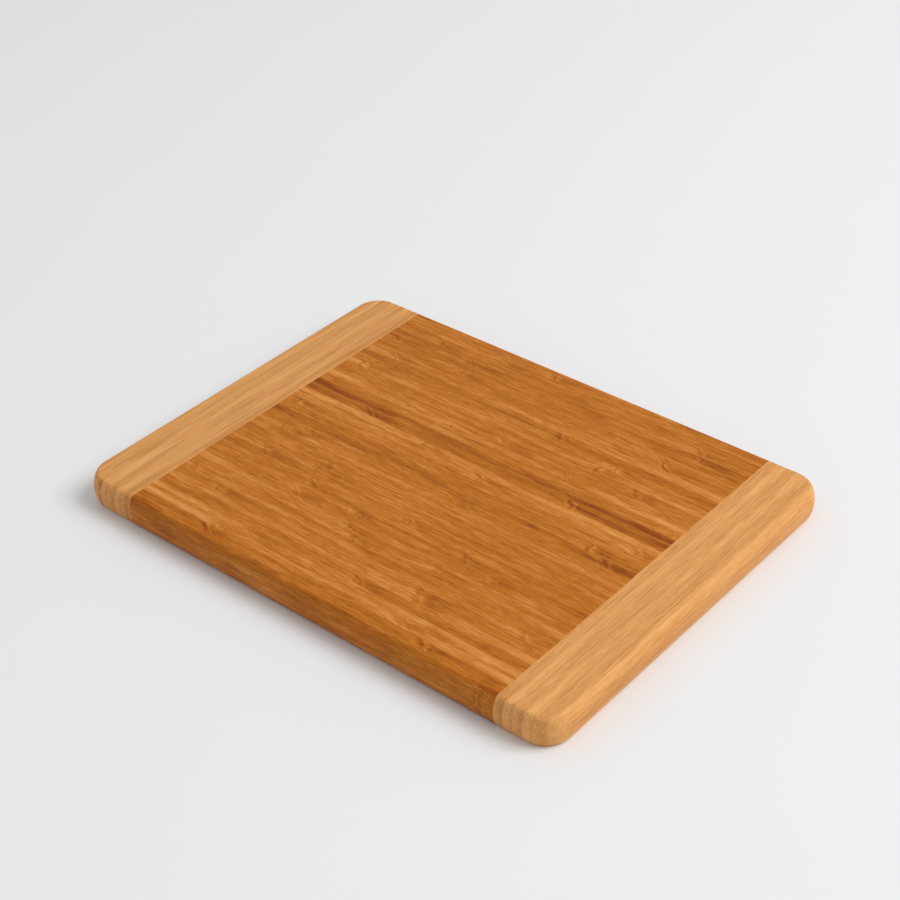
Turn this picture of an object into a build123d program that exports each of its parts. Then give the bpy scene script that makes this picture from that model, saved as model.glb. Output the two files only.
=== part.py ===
from build123d import *

import os

# Bamboo cutting board, laid flat. Strips of bamboo stand on edge and run the full thickness.
# Carbonised strips lie side by side along X and make the panel. Natural strips lie across the
# panel's two ends, along Y, and make the end bars. Hidden dowels pin each bar to the panel.
# X runs along the board, Y across it and Z up. The origin is under the board's centre, on the
# surface that it lies on.

# Driving dimensions, in millimetres
length = 330.0  # along X, over both bars
width = 248.0  # along Y
thickness = 19.0
left_bar_width = 39.5  # the bar at -X
right_bar_width = 35.5  # the bar at +X
panel_strip_count = 42
left_bar_strip_count = 7
right_bar_strip_count = 6
corner_radius = 17.0  # in plan, at the board's widest line
nosing = 4.0  # how far the rounded edge stands out past the flat faces

dowel_diameter = 8.0
dowel_length = 40.0
dowel_chamfer = 0.8
dowel_count = 5  # at each bar
dowel_spacing = 48.0
glue_gap = 0.05  # round each dowel, in radius
end_gap = 1.0  # past each end of a dowel, for surplus glue

# Places that follow from them
half_length = length / 2
half_width = width / 2
half_thickness = thickness / 2
left_seam = left_bar_width - half_length
right_seam = half_length - right_bar_width
parts_folder = "parts"


def edge_section(reach):
    """Half of a slab's cross-section in the XZ plane: flat out to the nosing, which is half an ellipse."""
    flat = reach - nosing
    outline = [
        Line((0, half_thickness), (0, -half_thickness)),
        Line((0, -half_thickness), (flat, -half_thickness)),
        EllipticalCenterArc((flat, 0), nosing, half_thickness, start_angle=-90, arc_size=180),
        Line((flat, half_thickness), (0, half_thickness)),
    ]
    return Plane.XZ * make_face(outline)


def slab(reach, run):
    """A slab of both edge sections back to back, `run` long along Y."""
    half = extrude(edge_section(reach), run / 2, both=True)
    return half + mirror(half, about=Plane.YZ)


def board_blank():
    """The whole board's outer shape: two crossing slabs and a turned corner at each end."""
    straight_x = half_length - corner_radius
    straight_y = half_width - corner_radius
    along = Rot(Z=90) * slab(half_width, 2 * straight_x)
    across = slab(half_length, 2 * straight_y)
    corner = revolve(edge_section(corner_radius), Axis.Z)
    corners = [Pos(sx * straight_x, sy * straight_y) * corner for sx in (-1, 1) for sy in (-1, 1)]
    return Pos(Z=half_thickness) * (along + across + corners)


def strip_sides(start, stop, count):
    """The low and high side of each of `count` equal strips, in order from `start` to `stop`."""
    pitch = (stop - start) / count
    return [sorted((start + number * pitch, start + (number + 1) * pitch)) for number in range(count)]


def block(x_sides, y_sides):
    """A block of the full thickness, which cuts one strip out of the blank."""
    (x_low, x_high), (y_low, y_high) = x_sides, y_sides
    middle = Pos((x_low + x_high) / 2, (y_low + y_high) / 2, half_thickness)
    return middle * Box(x_high - x_low, y_high - y_low, thickness)


def panel_blocks():
    """The panel's strips, numbered from the board's -Y edge to its +Y edge."""
    sides = strip_sides(-half_width, half_width, panel_strip_count)
    return {
        f"panel_strip_{number:02d}": block((left_seam, right_seam), side)
        for number, side in enumerate(sides, 1)
    }


def bar_blocks(name, seam, end, count):
    """One end bar's strips, numbered from the seam to the board's end."""
    return {
        f"{name}_strip_{number}": block(side, (-half_width, half_width))
        for number, side in enumerate(strip_sides(seam, end, count), 1)
    }


def dowel_places(seam):
    """The middles of the dowels across one seam, turned to lie along X."""
    first = -(dowel_count - 1) / 2 * dowel_spacing
    return [
        Pos(seam, first + number * dowel_spacing, half_thickness) * Rot(Y=90)
        for number in range(dowel_count)
    ]


def dowel():
    """One dowel along Z, its ends chamfered."""
    pin = Cylinder(dowel_diameter / 2, dowel_length)
    return chamfer(pin.edges().filter_by(GeomType.CIRCLE), dowel_chamfer)


def bore():
    """The room that one dowel takes in the strips on both sides of its seam."""
    return Cylinder(dowel_diameter / 2 + glue_gap, dowel_length + 2 * end_gap)


def board():
    """Every node of the board by its name."""
    blank = board_blank()
    left_places = dowel_places(left_seam)
    right_places = dowel_places(right_seam)
    bores = [place * bore() for place in left_places + right_places]
    blocks = panel_blocks()
    blocks |= bar_blocks("left_bar", left_seam, -half_length, left_bar_strip_count)
    blocks |= bar_blocks("right_bar", right_seam, half_length, right_bar_strip_count)
    nodes = {name: (blank & strip_block) - bores for name, strip_block in blocks.items()}
    nodes["left_dowels"] = Compound([place * dowel() for place in left_places])
    nodes["right_dowels"] = Compound([place * dowel() for place in right_places])
    return nodes


os.makedirs(parts_folder, exist_ok=True)
for node, shape in board().items():
    export_step(shape, f"{parts_folder}/{node}.step")
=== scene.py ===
"""A bamboo cutting board: a carbonised panel between two pale end bars, built round its CAD frame."""

import math
import random

import bmesh
import bpy
from bpy.props import FloatProperty, FloatVectorProperty, IntProperty, PointerProperty
from mathutils import Matrix, Quaternion, Vector


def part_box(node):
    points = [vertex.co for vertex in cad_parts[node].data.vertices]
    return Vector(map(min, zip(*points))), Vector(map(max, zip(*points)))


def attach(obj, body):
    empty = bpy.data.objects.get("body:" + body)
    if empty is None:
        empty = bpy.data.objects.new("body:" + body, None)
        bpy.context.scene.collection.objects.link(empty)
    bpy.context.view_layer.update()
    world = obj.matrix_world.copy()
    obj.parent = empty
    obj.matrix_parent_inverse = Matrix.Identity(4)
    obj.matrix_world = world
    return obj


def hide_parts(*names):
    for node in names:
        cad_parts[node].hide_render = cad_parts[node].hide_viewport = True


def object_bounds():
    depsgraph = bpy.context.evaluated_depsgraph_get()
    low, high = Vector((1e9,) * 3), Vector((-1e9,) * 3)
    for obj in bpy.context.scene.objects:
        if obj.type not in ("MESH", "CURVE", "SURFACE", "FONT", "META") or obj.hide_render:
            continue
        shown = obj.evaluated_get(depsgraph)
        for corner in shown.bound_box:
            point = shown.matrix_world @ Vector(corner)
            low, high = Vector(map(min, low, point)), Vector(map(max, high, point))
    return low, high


bl_info = {
    "name": "Bamboo Cutting Board",
    "version": (1, 0, 0),
    "blender": (4, 5, 0),
    "location": "3D View > Sidebar > Cutting Board",
    "description": "Makes a two-tone bamboo cutting board strip by strip, and the studio round it",
    "category": "Object",
}

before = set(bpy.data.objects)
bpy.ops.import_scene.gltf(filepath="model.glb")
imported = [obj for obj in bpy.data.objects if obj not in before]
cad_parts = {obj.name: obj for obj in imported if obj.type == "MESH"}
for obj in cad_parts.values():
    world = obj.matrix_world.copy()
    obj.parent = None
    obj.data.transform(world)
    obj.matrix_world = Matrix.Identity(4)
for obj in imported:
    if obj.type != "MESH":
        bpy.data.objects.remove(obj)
cad_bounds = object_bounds()

MM = 1000.0  # millimetres in a metre
ALONG_X, ALONG_Y = 0, 1
PANEL_NODES = sorted(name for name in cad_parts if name.startswith("panel_strip_"))
LEFT_BAR_NODES = sorted(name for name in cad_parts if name.startswith("left_bar_strip_"))
RIGHT_BAR_NODES = sorted(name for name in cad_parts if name.startswith("right_bar_strip_"))
DOWEL_NODES = ("left_dowels", "right_dowels")

NOSING_RINGS = 12  # from the widest line up to the flat face
CORNER_SEGMENTS = 16  # round one corner in plan
BORE_SEGMENTS = 32
MERGE_DISTANCE = 1e-7
SHARP_EDGE = math.radians(30)
FLAT_NORMAL = 0.9999  # a face is flat, and not part of a round, where its normal lies this near an axis

# Where each way of facing goes in the square of the bake: low u, low v, high u and high v. The fibres
# run along u, and both ends of a strip share a narrow column.
TOP_BAND = (0.01, 0.01, 0.93, 0.36)
BOTTOM_BAND = (0.01, 0.38, 0.93, 0.60)
SIDE_BANDS = ((0.01, 0.62, 0.93, 0.79), (0.01, 0.81, 0.93, 0.98))
END_BANDS = ((0.95, 0.01, 0.99, 0.48), (0.95, 0.51, 0.99, 0.98))

# The carbonised strips by how they look, counted from the -Y edge. The rest are middling.
DEEP_STRIPS = {
    1: -0.12, 2: -0.08, 5: -0.05, 13: -0.05, 20: -0.14, 21: -0.07, 25: -0.16, 26: -0.24, 33: -0.12,
    37: -0.05, 38: -0.08,
}
PALE_STRIPS = {
    3: 0.15, 4: 0.13, 6: 0.11, 8: 0.07, 10: 0.08, 18: 0.06, 23: 0.08, 24: 0.14, 28: 0.14, 31: 0.10,
    34: 0.09,
}
# Knuckles, where a strip's fibres swirl, in millimetres along the board from its middle.
PANEL_KNUCKLES = {
    1: (120,), 2: (78, -74), 3: (57, -72), 4: (75, -52), 5: (20,), 6: (54,), 7: (52, -92),
    8: (113, -119), 9: (-5,), 10: (47, -13), 11: (-58,), 12: (75, -20), 13: (-55, 52), 14: (9, -98),
    15: (-62,), 16: (-58,), 17: (-110,), 18: (8, -104), 19: (15, -90), 20: (112,), 21: (97,),
    22: (-118,), 23: (14, 118), 24: (-30,), 25: (-78, 67), 26: (-78, 66), 27: (125,), 28: (-30, 52),
    29: (3,), 30: (90,), 31: (60, -115), 32: (68,), 33: (24,), 34: (-105,), 35: (88,), 36: (86, -60),
    37: (-118,), 38: (100, -62), 39: (95, -92), 40: (-50,), 41: (-15,), 42: (70,),
}
FAR_AWAY = 9000.0  # millimetres: where a strip's missing second knuckle is put

# The end bars: how pale each bar is, how much coarse grain it has, and the tones of its strips from
# the seam outward.
LEFT_BAR_TONE, LEFT_BAR_COARSENESS = -0.04, 0.9
RIGHT_BAR_TONE, RIGHT_BAR_COARSENESS = 0.04, 0.2
END_STRIP_TONES = (-0.08, 0.06, -0.03, 0.08, -0.06, 0.04, -0.03)
PANEL_COARSENESS = 0.5

# Sizes in the grain, in millimetres.
BOW_REACH = 9.0  # how far from a knuckle the fibres bow
SLASH_REACH, SLASH_WIDTH = 6.0, 1.4
SWIRL_REACH, SWIRL_PITCH = 6.5, 1.9
HALO_OFFSET, HALO_WIDTH = 2.6, 1.4
TAIL_OFFSET, TAIL_REACH, TAIL_WIDTH = 9.0, 9.0, 2.4
JOINT_WIDTH, END_JOINT_WIDTH = 0.45, 0.5
END_GRAIN_START, END_GRAIN_FULL = 6.0, 2.0  # in from the end of the board
TONE_START, TONE_FULL = 50.0, 125.0  # along the board, over which a strip's tone grows
STREAK_WIDTH = 1.9

# How far each part of the grain moves the colour, where 1 is the whole way from dark to pale.
SKIN_WEIGHT, PATCH_WEIGHT, JOINT_WEIGHT = 0.12, 0.15, 0.14
BROAD_WEIGHT, COARSE_BROAD_WEIGHT = 0.12, 0.36
FIBRE_WEIGHT, PORE_WEIGHT = 0.25, 0.20
HAIR_WEIGHT, COARSE_HAIR_LOSS = 0.64, 0.52
HALO_WEIGHT, SLASH_WEIGHT, SWIRL_WEIGHT, TAIL_WEIGHT = 0.10, 0.20, 0.36, 0.18
END_JOINT_WEIGHT, END_SKIN_WEIGHT, END_SHADE, END_HAIR_WEIGHT = 0.60, 0.20, 0.12, 0.35
BLUSH_WEIGHT = 0.5

BUMP_DISTANCE = 0.0001
SENSOR_WIDTH = 36.0  # millimetres
FLOOR_REACH = 4.0
LAMP_SIZE = 2.0
LAMP_PLACE = Vector((2.08, 1.20, 2.56))


def from_srgb(*levels):
    """A linear colour from red, green and blue levels out of 255."""
    return tuple(((level / 255 + 0.055) / 1.055) ** 2.4 for level in levels)


# ---------------------------------------------------------------- settings


class BoardSizes(bpy.types.PropertyGroup):
    """Sizes that the boxes of the CAD nodes don't give."""

    corner_radius: FloatProperty(
        name="Corner Radius", description="Plan radius at the widest line", default=0.017, unit="LENGTH")
    nosing: FloatProperty(
        name="Nosing", description="How far the rounded edge stands out", default=0.004, unit="LENGTH")
    dowel_count: IntProperty(name="Dowels", description="Dowels at each end bar", default=5, min=1)
    glue_gap: FloatProperty(
        name="Glue Gap", description="Gap round each dowel, in radius", default=0.00005, unit="LENGTH")
    end_gap: FloatProperty(
        name="End Gap", description="Gap past each end of a dowel", default=0.001, unit="LENGTH")


class BambooColours(bpy.types.PropertyGroup):
    """Colours of the bamboo and the dowels."""

    carbonised_dark: FloatVectorProperty(
        name="Carbonised Dark", description="Dark fibres of the panel", subtype="COLOR",
        default=from_srgb(136, 62, 1))
    carbonised: FloatVectorProperty(
        name="Carbonised", description="Body colour of the panel", subtype="COLOR",
        default=from_srgb(189, 112, 30))
    carbonised_light: FloatVectorProperty(
        name="Carbonised Light", description="Pale fibres of the panel", subtype="COLOR",
        default=from_srgb(230, 156, 86))
    carbonised_ruddy: FloatVectorProperty(
        name="Carbonised Ruddy", description="Reddish patches of the panel", subtype="COLOR",
        default=from_srgb(192, 100, 26))
    natural_dark: FloatVectorProperty(
        name="Natural Dark", description="Dark fibres of the end bars", subtype="COLOR",
        default=from_srgb(180, 118, 58))
    natural: FloatVectorProperty(
        name="Natural", description="Body colour of the end bars", subtype="COLOR",
        default=from_srgb(217, 154, 89))
    natural_light: FloatVectorProperty(
        name="Natural Light", description="Pale fibres of the end bars", subtype="COLOR",
        default=from_srgb(240, 181, 114))
    natural_ruddy: FloatVectorProperty(
        name="Natural Ruddy", description="Reddish patches of the end bars", subtype="COLOR",
        default=from_srgb(216, 146, 84))
    dowel: FloatVectorProperty(
        name="Dowel", description="Bare turned hardwood", subtype="COLOR",
        default=from_srgb(206, 170, 122))


class StudioSettings(bpy.types.PropertyGroup):
    """The floor, the light and the camera."""

    floor_colour: FloatVectorProperty(
        name="Floor", description="Colour of the floor", subtype="COLOR",
        default=from_srgb(236, 237, 238))
    sky_strength: FloatProperty(name="Sky", description="Light from all round", default=0.56, min=0)
    key_power: FloatProperty(
        name="Key", description="Power of the large lamp", default=79.0, min=0, unit="POWER")
    lens: FloatProperty(name="Lens", description="Focal length in millimetres", default=74.9, min=1)
    azimuth: FloatProperty(
        name="Azimuth", description="Turn of the camera round the board",
        default=math.radians(40.58), subtype="ANGLE")
    elevation: FloatProperty(
        name="Elevation", description="Height angle of the camera",
        default=math.radians(35.42), subtype="ANGLE")
    roll: FloatProperty(
        name="Roll", description="Tilt of the camera", default=math.radians(-1.49), subtype="ANGLE")
    distance: FloatProperty(
        name="Distance", description="From the camera to what it looks at", default=1.0847, unit="LENGTH")
    target: FloatVectorProperty(
        name="Target", description="The point that the camera looks at", default=(-0.0336, 0.0400, 0.0),
        subtype="TRANSLATION", unit="LENGTH")


# ---------------------------------------------------------------- shader expressions


class Value:
    """A socket in a node tree. An expression on values adds its Math nodes."""

    def __init__(self, graph, socket):
        self.graph = graph
        self.socket = socket

    def maths(self, operation, *operands):
        return self.graph.node("ShaderNodeMath", {"operation": operation}, operands)

    def __add__(self, other):
        return self.maths("ADD", self, other)

    def __sub__(self, other):
        return self.maths("SUBTRACT", self, other)

    def __rsub__(self, other):
        return self.maths("SUBTRACT", other, self)

    def __mul__(self, other):
        return self.maths("MULTIPLY", self, other)

    def __truediv__(self, other):
        return self.maths("DIVIDE", self, other)

    __radd__ = __add__
    __rmul__ = __mul__


class Graph:
    """A material's node tree, and the few ways of adding to it."""

    def __init__(self, name):
        self.material = bpy.data.materials.new(name)
        self.material.use_nodes = True
        self.tree = self.material.node_tree
        self.tree.nodes.clear()

    def node(self, kind, settings=None, inputs=(), output=0):
        """Adds a node: its settings first, then the values or links of its sockets."""
        made = self.tree.nodes.new(kind)
        for key, setting in (settings or {}).items():
            setattr(made, key, setting)
        named = inputs if isinstance(inputs, dict) else dict(enumerate(inputs))
        for key, given in named.items():
            if isinstance(given, Value):
                self.tree.links.new(given.socket, made.inputs[key])
            else:
                made.inputs[key].default_value = given
        return Value(self, made.outputs[output])

    def point(self):
        """The X, Y and Z of the object coordinates, in millimetres."""
        place = self.node("ShaderNodeTexCoord", output="Object")
        in_mm = self.node("ShaderNodeVectorMath", {"operation": "SCALE"}, {0: place, "Scale": MM})
        return [self.node("ShaderNodeSeparateXYZ", None, [in_mm], axis) for axis in range(3)]

    def attribute(self, name):
        return self.node("ShaderNodeAttribute", {"attribute_name": name}, output="Fac")

    def noise(self, x, y, z, detail=2.0, roughness=0.5):
        """Soft noise round zero, from about -1 to 1, one wave per unit of each coordinate."""
        place = self.node("ShaderNodeCombineXYZ", None, [x, y, z])
        sockets = {"Vector": place, "Scale": 1.0, "Detail": detail, "Roughness": roughness}
        raw = self.node("ShaderNodeTexNoise", None, sockets)
        return (raw - 0.5) * 2.0

    def bell(self, distance, width):
        """1 where the distance is zero, falling away to either side over the width."""
        share = distance / width
        return self.node("ShaderNodeMath", {"operation": "EXPONENT"}, [share * share * -1.0])

    def ramp(self, value, low, high):
        """An even climb from 0 at low to 1 at high, flat past both."""
        return self.node("ShaderNodeMapRange", None, {"Value": value, "From Min": low, "From Max": high})

    def blend(self, share, first, second):
        """A colour that goes from the first to the second as the share goes from 0 to 1."""
        return self.node("ShaderNodeMix", {"data_type": "RGBA"}, {0: share, 6: first, 7: second}, 2)

    def finish(self, colour, roughness, height=None, bump_strength=0.0, **constants):
        """Ends the tree in one Principled shader."""
        sockets = {"Base Color": colour, "Roughness": roughness, **constants}
        if height is not None:
            bump = {"Strength": bump_strength, "Distance": BUMP_DISTANCE, "Height": height}
            sockets["Normal"] = self.node("ShaderNodeBump", None, bump)
        shader = self.node("ShaderNodeBsdfPrincipled", None, sockets)
        end = self.tree.nodes.new("ShaderNodeOutputMaterial")
        self.tree.links.new(shader.socket, end.inputs["Surface"])
        return self.material


def opaque(colour):
    """The colour with a full alpha, as colour sockets take it."""
    return (*colour, 1.0)


# ---------------------------------------------------------------- finishes


def knuckle_marks(graph, run, across, up, seed, lean):
    """How far the fibres bow at a strip's knuckles, and how the knuckles change its colour."""
    bow, marks = 0.0, 0.0
    tail_line = across + graph.noise(run / 30.0, seed, 1.0, detail=0.0)
    wobble = graph.noise(run / 6.0, across / 3.0, up / 4.0 + seed, detail=2.0) * 4.5
    faded = graph.ramp(graph.noise(run / 4.0, across / 1.2, up / 3.0 - seed, detail=1.0), -0.5, 0.4)
    for number in (1, 2):
        knuckle = run - graph.attribute(f"knuckle_{number}")
        bow = graph.bell(knuckle, BOW_REACH) * (lean * 2.2 + knuckle * 0.14) + bow
        # Slashes and curls lie on a slant across the fibres, with a pale halo beside them.
        slant = knuckle + across * (lean + 0.7) + wobble
        slash = graph.bell(slant, SLASH_WIDTH) * graph.bell(knuckle, SLASH_REACH) * faded
        curls = graph.noise(slant / SWIRL_PITCH, seed, up / 4.0, detail=1.0)
        swirl = curls * graph.bell(knuckle, SWIRL_REACH)
        halo = graph.bell(slant - HALO_OFFSET, HALO_WIDTH) + graph.bell(knuckle + 6.0, 5.0) * 0.5
        tail = graph.bell(knuckle - TAIL_OFFSET, TAIL_REACH) * graph.bell(tail_line - lean, TAIL_WIDTH)
        marks = marks + halo * HALO_WEIGHT - slash * SLASH_WEIGHT + swirl * SWIRL_WEIGHT - tail * TAIL_WEIGHT
    return bow, marks


def bamboo_finish(name, along, dark, body, light, ruddy, fibre_length, waviness, knuckle_strength):
    """Bamboo on edge: fibres along the strip, bent and darkened at its knuckles. All in millimetres."""
    graph = Graph(name)
    point = graph.point()
    run, side, up = point[along], point[1 - along], point[2]
    seed = graph.attribute("seed")
    coarse = graph.attribute("coarseness")
    half_width = graph.attribute("half_width")
    across = side - graph.attribute("middle")
    lean = graph.noise(seed * 3.7, run / 40.0, 0.0, detail=0.0) * 2.0
    bow, marks = knuckle_marks(graph, run, across, up, seed, lean)

    # The fibres meander. Each layer of noise follows them, long along the fibres and thin across.
    drift = graph.noise(run / 48.0, seed, side / 12.0, detail=1.0)
    ripple = graph.noise(run / 9.0, seed, across / 3.0, detail=1.0)
    line = across + (drift * 1.2 + ripple * 0.35) * waviness + bow
    level = up + drift * 0.9 + ripple * 0.4
    broad = graph.noise(run / 42.0 + seed, line / 2.4, level / 3.0, detail=2.0)
    fibre = graph.noise(run / fibre_length + seed, line / 0.9, level / 1.0, detail=2.0, roughness=0.6)
    hair = graph.noise(run / (fibre_length * 0.4) + seed, line / 0.42, level / 0.4, detail=1.0)
    patch = graph.noise(run / (fibre_length * 1.2) + seed, side / 7.0, up / 9.0 + seed, detail=2.0)
    pore = graph.ramp(
        graph.noise(run / 3.4, line / 0.42, level / 0.42 + seed, detail=0.0), 0.45, 0.62)
    skin = graph.ramp(line * lean, -3.0, 3.0) - 0.5

    # A strip's own tone is strongest along one streak, and towards the ends of the board.
    far_out = graph.node("ShaderNodeMath", {"operation": "ABSOLUTE"}, [run])
    streak = graph.bell(line + lean * 0.8, STREAK_WIDTH) * 1.1 + 0.35
    growth = graph.ramp(far_out, TONE_START, TONE_FULL) * 0.8 + 0.75
    tone = graph.attribute("tone") * streak * growth

    # End grain shows where a strip runs out over the rounded edge.
    board_end = cad_bounds[1][along] * MM
    ends = graph.ramp(far_out, board_end - END_GRAIN_START, board_end - END_GRAIN_FULL)
    end_joint = graph.bell(across - half_width, END_JOINT_WIDTH) * END_JOINT_WEIGHT
    end_skin = across / half_width * END_SKIN_WEIGHT
    end_grain = end_joint - end_skin - END_SHADE + hair * END_HAIR_WEIGHT

    value = tone + skin * SKIN_WEIGHT + patch * PATCH_WEIGHT
    value = value - graph.bell(across - half_width, JOINT_WIDTH) * JOINT_WEIGHT
    value = value + broad * (coarse * COARSE_BROAD_WEIGHT + BROAD_WEIGHT) + fibre * FIBRE_WEIGHT
    value = value + hair * (HAIR_WEIGHT - coarse * COARSE_HAIR_LOSS) - pore * PORE_WEIGHT
    value = value + marks * knuckle_strength + ends * end_grain + 0.5
    lower = graph.blend(graph.ramp(value, 0.0, 0.5), opaque(dark), opaque(body))
    colour = graph.blend(graph.ramp(value, 0.5, 1.0), lower, opaque(light))
    blush = graph.ramp(graph.noise(run / 13.0, side / 4.0, up / 6.0 + seed), 0.1, 0.7)
    colour = graph.blend(blush * BLUSH_WEIGHT, colour, opaque(ruddy))

    roughness = 0.48 + hair * 0.06 + fibre * 0.05
    height = fibre * 0.4 + hair * 0.5 - pore * 0.5
    return graph.finish(colour, roughness, height, 0.2, **{"Specular IOR Level": 0.13})


def dowel_finish(colour):
    """Bare turned hardwood."""
    graph = Graph("turned_dowel")
    run, side, up = graph.point()
    grain = graph.noise(run / 12.0, side / 0.8, up / 0.8)
    value = graph.ramp(grain, -0.6, 0.6)
    darker = tuple(channel * 0.72 for channel in colour)
    shown = graph.blend(value, opaque(darker), opaque(colour))
    return graph.finish(shown, 0.6 + grain * 0.05, grain, 0.2)


def floor_finish(colour):
    """A plain matt floor, a touch uneven."""
    graph = Graph("studio_floor")
    x, y, _ = graph.point()
    mottle = graph.ramp(graph.noise(x / 90.0, y / 90.0, 0.0), -1.0, 1.0)
    darker = tuple(channel * 0.99 for channel in colour)
    shown = graph.blend(mottle, opaque(darker), opaque(colour))
    return graph.finish(shown, 0.9, **{"Specular IOR Level": 0.2})


# ---------------------------------------------------------------- shapes


def whole_board(sizes):
    """The board in one piece: its widest outline, rings inset up to the flat face, and the mirror of it."""
    low, high = (Vector(corner) for corner in cad_bounds)
    size, middle = high - low, (low + high) / 2
    board = bmesh.new()
    outline = Matrix.Diagonal((size.x, size.y, 1, 1))
    bmesh.ops.create_grid(board, x_segments=1, y_segments=1, size=0.5, matrix=outline)
    bmesh.ops.bevel(
        board, geom=board.verts[:], offset=sizes.corner_radius, offset_type="OFFSET",
        segments=CORNER_SEGMENTS, profile=0.5, affect="VERTICES", material=-1)
    face = board.faces[:][0]
    # Even steps of the surface's lean keep the last ring almost flat where it meets the face.
    leans = [math.pi / 2 * ring / NOSING_RINGS for ring in range(NOSING_RINGS + 1)]
    turns = [math.atan2(size.z / 2 * math.sin(lean), sizes.nosing * math.cos(lean)) for lean in leans]
    for start, stop in zip(turns, turns[1:]):
        inwards = sizes.nosing * (math.cos(start) - math.cos(stop))
        upwards = size.z / 2 * (math.sin(stop) - math.sin(start))
        bmesh.ops.inset_region(
            board, faces=[face], thickness=inwards, depth=upwards, use_boundary=True, use_even_offset=True)
    everything = board.verts[:] + board.edges[:] + board.faces[:]
    bmesh.ops.mirror(board, geom=everything, matrix=Matrix.Identity(4), merge_dist=MERGE_DISTANCE, axis="Z")
    bmesh.ops.translate(board, verts=board.verts[:], vec=middle)
    bmesh.ops.recalc_face_normals(board, faces=board.faces[:])
    return board


def bore_dowel_holes(board, sizes):
    """Closed hollows in the board, one round each dowel."""
    for node in DOWEL_NODES:
        low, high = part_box(node)
        size, middle = high - low, (low + high) / 2
        spacing = (size.y - size.z) / (sizes.dowel_count - 1)
        for number in range(sizes.dowel_count):
            y = low.y + size.z / 2 + number * spacing
            place = Matrix.Translation((middle.x, y, middle.z)) @ Matrix.Rotation(math.pi / 2, 4, "Y")
            half_facet = Matrix.Rotation(math.pi / BORE_SEGMENTS, 4, "Z")
            radius = size.z / 2 + sizes.glue_gap
            made = bmesh.ops.create_cone(
                board, cap_ends=True, segments=BORE_SEGMENTS, radius1=radius, radius2=radius,
                depth=size.x + 2 * sizes.end_gap, matrix=place @ half_facet)
            walls = {wall for corner in made["verts"] for wall in corner.link_faces}
            bmesh.ops.reverse_faces(board, faces=list(walls))


def keep_above(shape, point, normal):
    """Cuts the shape along a plane, keeps what the normal points at, and closes the cut."""
    everything = shape.verts[:] + shape.edges[:] + shape.faces[:]
    cut = bmesh.ops.bisect_plane(
        shape, geom=everything, dist=MERGE_DISTANCE, plane_co=point, plane_no=normal, clear_inner=True)
    edges = [part for part in cut["geom_cut"] if isinstance(part, bmesh.types.BMEdge)]
    if edges:
        bmesh.ops.triangle_fill(shape, use_beauty=True, use_dissolve=False, edges=edges, normal=-normal)


def strip_shape(board, node, along):
    """One strip cut out of the board, between the sides of its CAD box."""
    shape = board.copy()
    low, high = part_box(node)
    axes = (0, 1) if along == ALONG_X else (0,)
    for axis in axes:
        normal = Vector((0, 0, 0))
        normal[axis] = 1.0
        keep_above(shape, low, normal)
        keep_above(shape, high, -normal)
    return shape


def lay_out_faces(shape, along):
    """UVs for baking: the faces go in bands by the way they face, with the fibres along U."""
    across = 1 - along
    upward = 2
    bands = {upward: (TOP_BAND, BOTTOM_BAND), across: SIDE_BANDS, along: END_BANDS}
    corners = [vert.co for vert in shape.verts]
    low = [min(corner[axis] for corner in corners) for axis in range(3)]
    span = [max(corner[axis] for corner in corners) - low[axis] for axis in range(3)]
    layer = shape.loops.layers.uv.new("OFBake")
    for face in shape.faces:
        axis = max(range(3), key=lambda candidate: abs(face.normal[candidate]))
        u_low, v_low, u_high, v_high = bands[axis][0 if face.normal[axis] > 0 else 1]
        u_axis = across if axis == along else along
        v_axis = 3 - axis - u_axis
        for loop in face.loops:
            u = (loop.vert.co[u_axis] - low[u_axis]) / span[u_axis]
            v = (loop.vert.co[v_axis] - low[v_axis]) / span[v_axis]
            loop[layer].uv = (u_low + u * (u_high - u_low), v_low + v * (v_high - v_low))


def add_piece(shape, name, material, node):
    """Makes the finished mesh an object that rides on the board and stands for its CAD node."""
    shape.normal_update()
    for face in shape.faces:
        face.smooth = max(abs(part) for part in face.normal) < FLAT_NORMAL
    for edge in shape.edges:
        edge.smooth = edge.calc_face_angle(0) < SHARP_EDGE
    mesh = bpy.data.meshes.new(name)
    shape.to_mesh(mesh)
    shape.free()
    mesh.materials.append(material)
    piece = bpy.data.objects.new(name, mesh)
    bpy.context.scene.collection.objects.link(piece)
    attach(piece, "root")
    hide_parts(node)
    return piece


def describe_strip(piece, **facts):
    """Writes what the finish needs to know about a strip on its mesh, the same at every point."""
    for name, fact in facts.items():
        layer = piece.data.attributes.new(name, "FLOAT", "POINT")
        layer.data.foreach_set("value", [fact] * len(piece.data.vertices))


def make_strips(nodes, prefix, along, material, coarseness, tones, knuckles):
    """Cuts, unwraps and describes a row of strips."""
    sizes = bpy.context.scene.board_sizes
    board = whole_board(sizes)
    bore_dowel_holes(board, sizes)
    for number, node in enumerate(nodes, 1):
        shape = strip_shape(board, node, along)
        shape.normal_update()
        lay_out_faces(shape, along)
        name = f"{prefix}_{number:0{len(str(len(nodes)))}d}"
        piece = add_piece(shape, name, material, node)
        low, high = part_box(node)
        middle = (low[1 - along] + high[1 - along]) / 2 * MM
        half_width = (high[1 - along] - low[1 - along]) / 2 * MM
        places = [*knuckles(number), FAR_AWAY, FAR_AWAY]
        describe_strip(
            piece, seed=random.Random(node).uniform(0, 100), tone=tones(number), middle=middle,
            half_width=half_width, coarseness=coarseness, knuckle_1=places[0], knuckle_2=places[1])
    board.free()


# ---------------------------------------------------------------- operators


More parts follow.
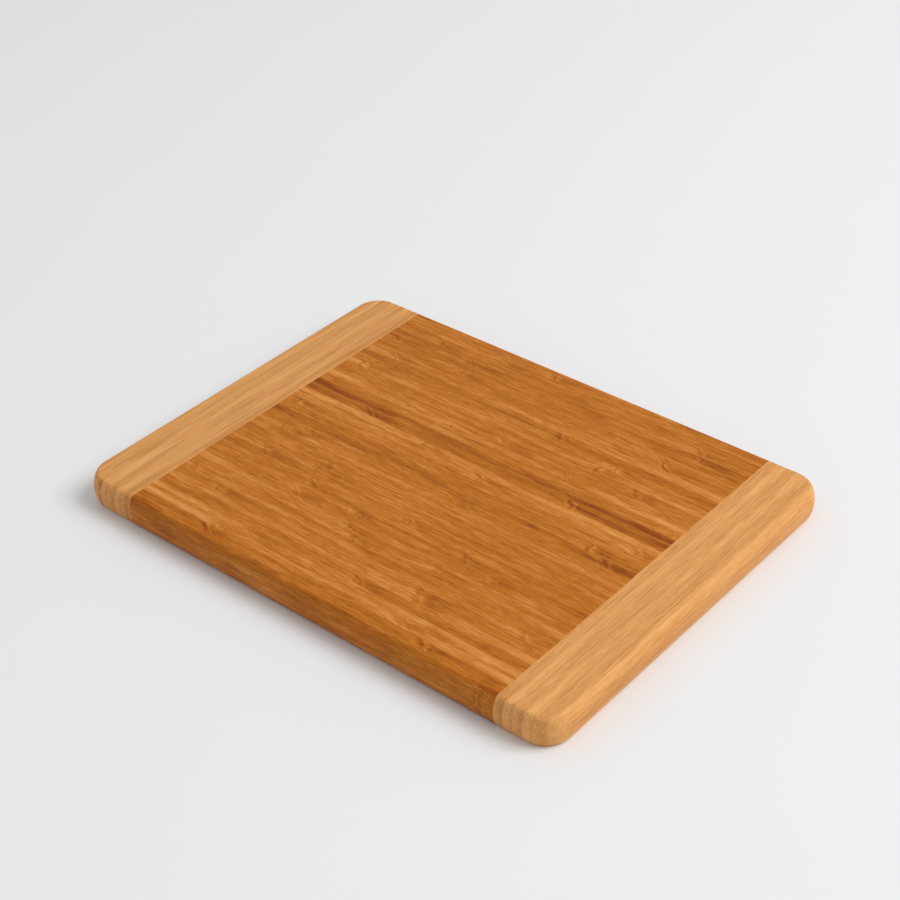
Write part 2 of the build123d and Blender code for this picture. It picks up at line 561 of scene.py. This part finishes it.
class CUTTINGBOARD_OT_panel(bpy.types.Operator):
    """Makes the panel's carbonised strips"""

    bl_idname = "cutting_board.panel"
    bl_label = "Carbonised Panel"

    def execute(self, context):
        colours = context.scene.bamboo_colours
        material = bamboo_finish(
            "carbonised_bamboo", ALONG_X, colours.carbonised_dark, colours.carbonised,
            colours.carbonised_light, colours.carbonised_ruddy, fibre_length=19.0, waviness=1.0,
            knuckle_strength=1.0)
        tones = DEEP_STRIPS | PALE_STRIPS
        make_strips(
            PANEL_NODES, "carbonised_strip", ALONG_X, material, PANEL_COARSENESS,
            lambda number: tones.get(number, 0.0), lambda number: PANEL_KNUCKLES.get(number, ()))
        return {"FINISHED"}


class CUTTINGBOARD_OT_end_bars(bpy.types.Operator):
    """Makes the natural strips of both end bars"""

    bl_idname = "cutting_board.end_bars"
    bl_label = "Natural End Bars"

    def execute(self, context):
        colours = context.scene.bamboo_colours
        material = bamboo_finish(
            "natural_bamboo", ALONG_Y, colours.natural_dark, colours.natural, colours.natural_light,
            colours.natural_ruddy, fibre_length=40.0, waviness=0.45, knuckle_strength=0.5)
        bars = (
            (LEFT_BAR_NODES, "left_end_strip", LEFT_BAR_TONE, LEFT_BAR_COARSENESS),
            (RIGHT_BAR_NODES, "right_end_strip", RIGHT_BAR_TONE, RIGHT_BAR_COARSENESS),
        )
        for nodes, prefix, tone, coarseness in bars:
            make_strips(
                nodes, prefix, ALONG_Y, material, coarseness,
                lambda number, tone=tone: tone + END_STRIP_TONES[number - 1], lambda number: ())
        return {"FINISHED"}


class CUTTINGBOARD_OT_dowels(bpy.types.Operator):
    """Gives the hidden dowels their wood"""

    bl_idname = "cutting_board.dowels"
    bl_label = "Dowels"

    def execute(self, context):
        material = dowel_finish(context.scene.bamboo_colours.dowel)
        for node in DOWEL_NODES:
            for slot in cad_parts[node].material_slots:
                slot.material = material
        return {"FINISHED"}


class CUTTINGBOARD_OT_studio(bpy.types.Operator):
    """Makes the floor, the light and the camera"""

    bl_idname = "cutting_board.studio"
    bl_label = "Studio"

    def execute(self, context):
        scene = context.scene
        settings = scene.studio_settings
        scene.view_settings.view_transform = "Standard"
        self.add_floor(settings)
        self.add_sky(scene, settings)
        self.add_lamp("key_lamp", settings.key_power, LAMP_SIZE, LAMP_PLACE)
        scene.camera = self.add_camera(settings)
        return {"FINISHED"}

    def add_object(self, name, data):
        made = bpy.data.objects.new(name, data)
        bpy.context.scene.collection.objects.link(made)
        return made

    def add_floor(self, settings):
        plane = bmesh.new()
        bmesh.ops.create_grid(plane, x_segments=1, y_segments=1, size=FLOOR_REACH)
        mesh = bpy.data.meshes.new("studio_floor")
        plane.to_mesh(mesh)
        plane.free()
        mesh.materials.append(floor_finish(settings.floor_colour))
        self.add_object("studio_floor", mesh)

    def add_sky(self, scene, settings):
        scene.world = bpy.data.worlds.new("studio_sky")
        scene.world.use_nodes = True
        sky = scene.world.node_tree.nodes["Background"]
        sky.inputs["Color"].default_value = (1.0, 1.0, 1.0, 1.0)
        sky.inputs["Strength"].default_value = settings.sky_strength

    def add_lamp(self, name, power, size, place):
        lamp = bpy.data.lights.new(name, "AREA")
        lamp.energy = power
        lamp.size = size
        made = self.add_object(name, lamp)
        made.location = place
        made.rotation_euler = place.to_track_quat("Z", "Y").to_euler()

    def add_camera(self, settings):
        data = bpy.data.cameras.new("camera")
        data.lens = settings.lens
        data.sensor_width = SENSOR_WIDTH
        camera = self.add_object("camera", data)
        level = math.cos(settings.elevation)
        back = Vector((
            math.sin(settings.azimuth) * level, -math.cos(settings.azimuth) * level,
            math.sin(settings.elevation)))
        turn = back.to_track_quat("Z", "Y") @ Quaternion((0, 0, 1), settings.roll)
        camera.matrix_world = Matrix.Translation(
            Vector(settings.target) + back * settings.distance) @ turn.to_matrix().to_4x4()
        return camera


OPERATORS = (CUTTINGBOARD_OT_panel, CUTTINGBOARD_OT_end_bars, CUTTINGBOARD_OT_dowels, CUTTINGBOARD_OT_studio)


class CUTTINGBOARD_PT_sidebar(bpy.types.Panel):
    """The board's settings and makers"""

    bl_idname = "CUTTINGBOARD_PT_sidebar"
    bl_label = "Cutting Board"
    bl_space_type = "VIEW_3D"
    bl_region_type = "UI"
    bl_category = "Cutting Board"

    def draw(self, context):
        scene = context.scene
        for group in (scene.board_sizes, scene.bamboo_colours, scene.studio_settings):
            column = self.layout.column()
            for name in type(group).__annotations__:
                column.prop(group, name)
        for operator in OPERATORS:
            self.layout.operator(operator.bl_idname)


CLASSES = (BoardSizes, BambooColours, StudioSettings, *OPERATORS, CUTTINGBOARD_PT_sidebar)


def register():
    for made_class in CLASSES:
        bpy.utils.register_class(made_class)
    bpy.types.Scene.board_sizes = PointerProperty(type=BoardSizes)
    bpy.types.Scene.bamboo_colours = PointerProperty(type=BambooColours)
    bpy.types.Scene.studio_settings = PointerProperty(type=StudioSettings)


def unregister():
    del bpy.types.Scene.studio_settings
    del bpy.types.Scene.bamboo_colours
    del bpy.types.Scene.board_sizes
    for made_class in reversed(CLASSES):
        bpy.utils.unregister_class(made_class)


def main():
    register()
    bpy.ops.cutting_board.panel()
    bpy.ops.cutting_board.end_bars()
    bpy.ops.cutting_board.dowels()
    bpy.ops.cutting_board.studio()


if __name__ == "__main__":
    main()
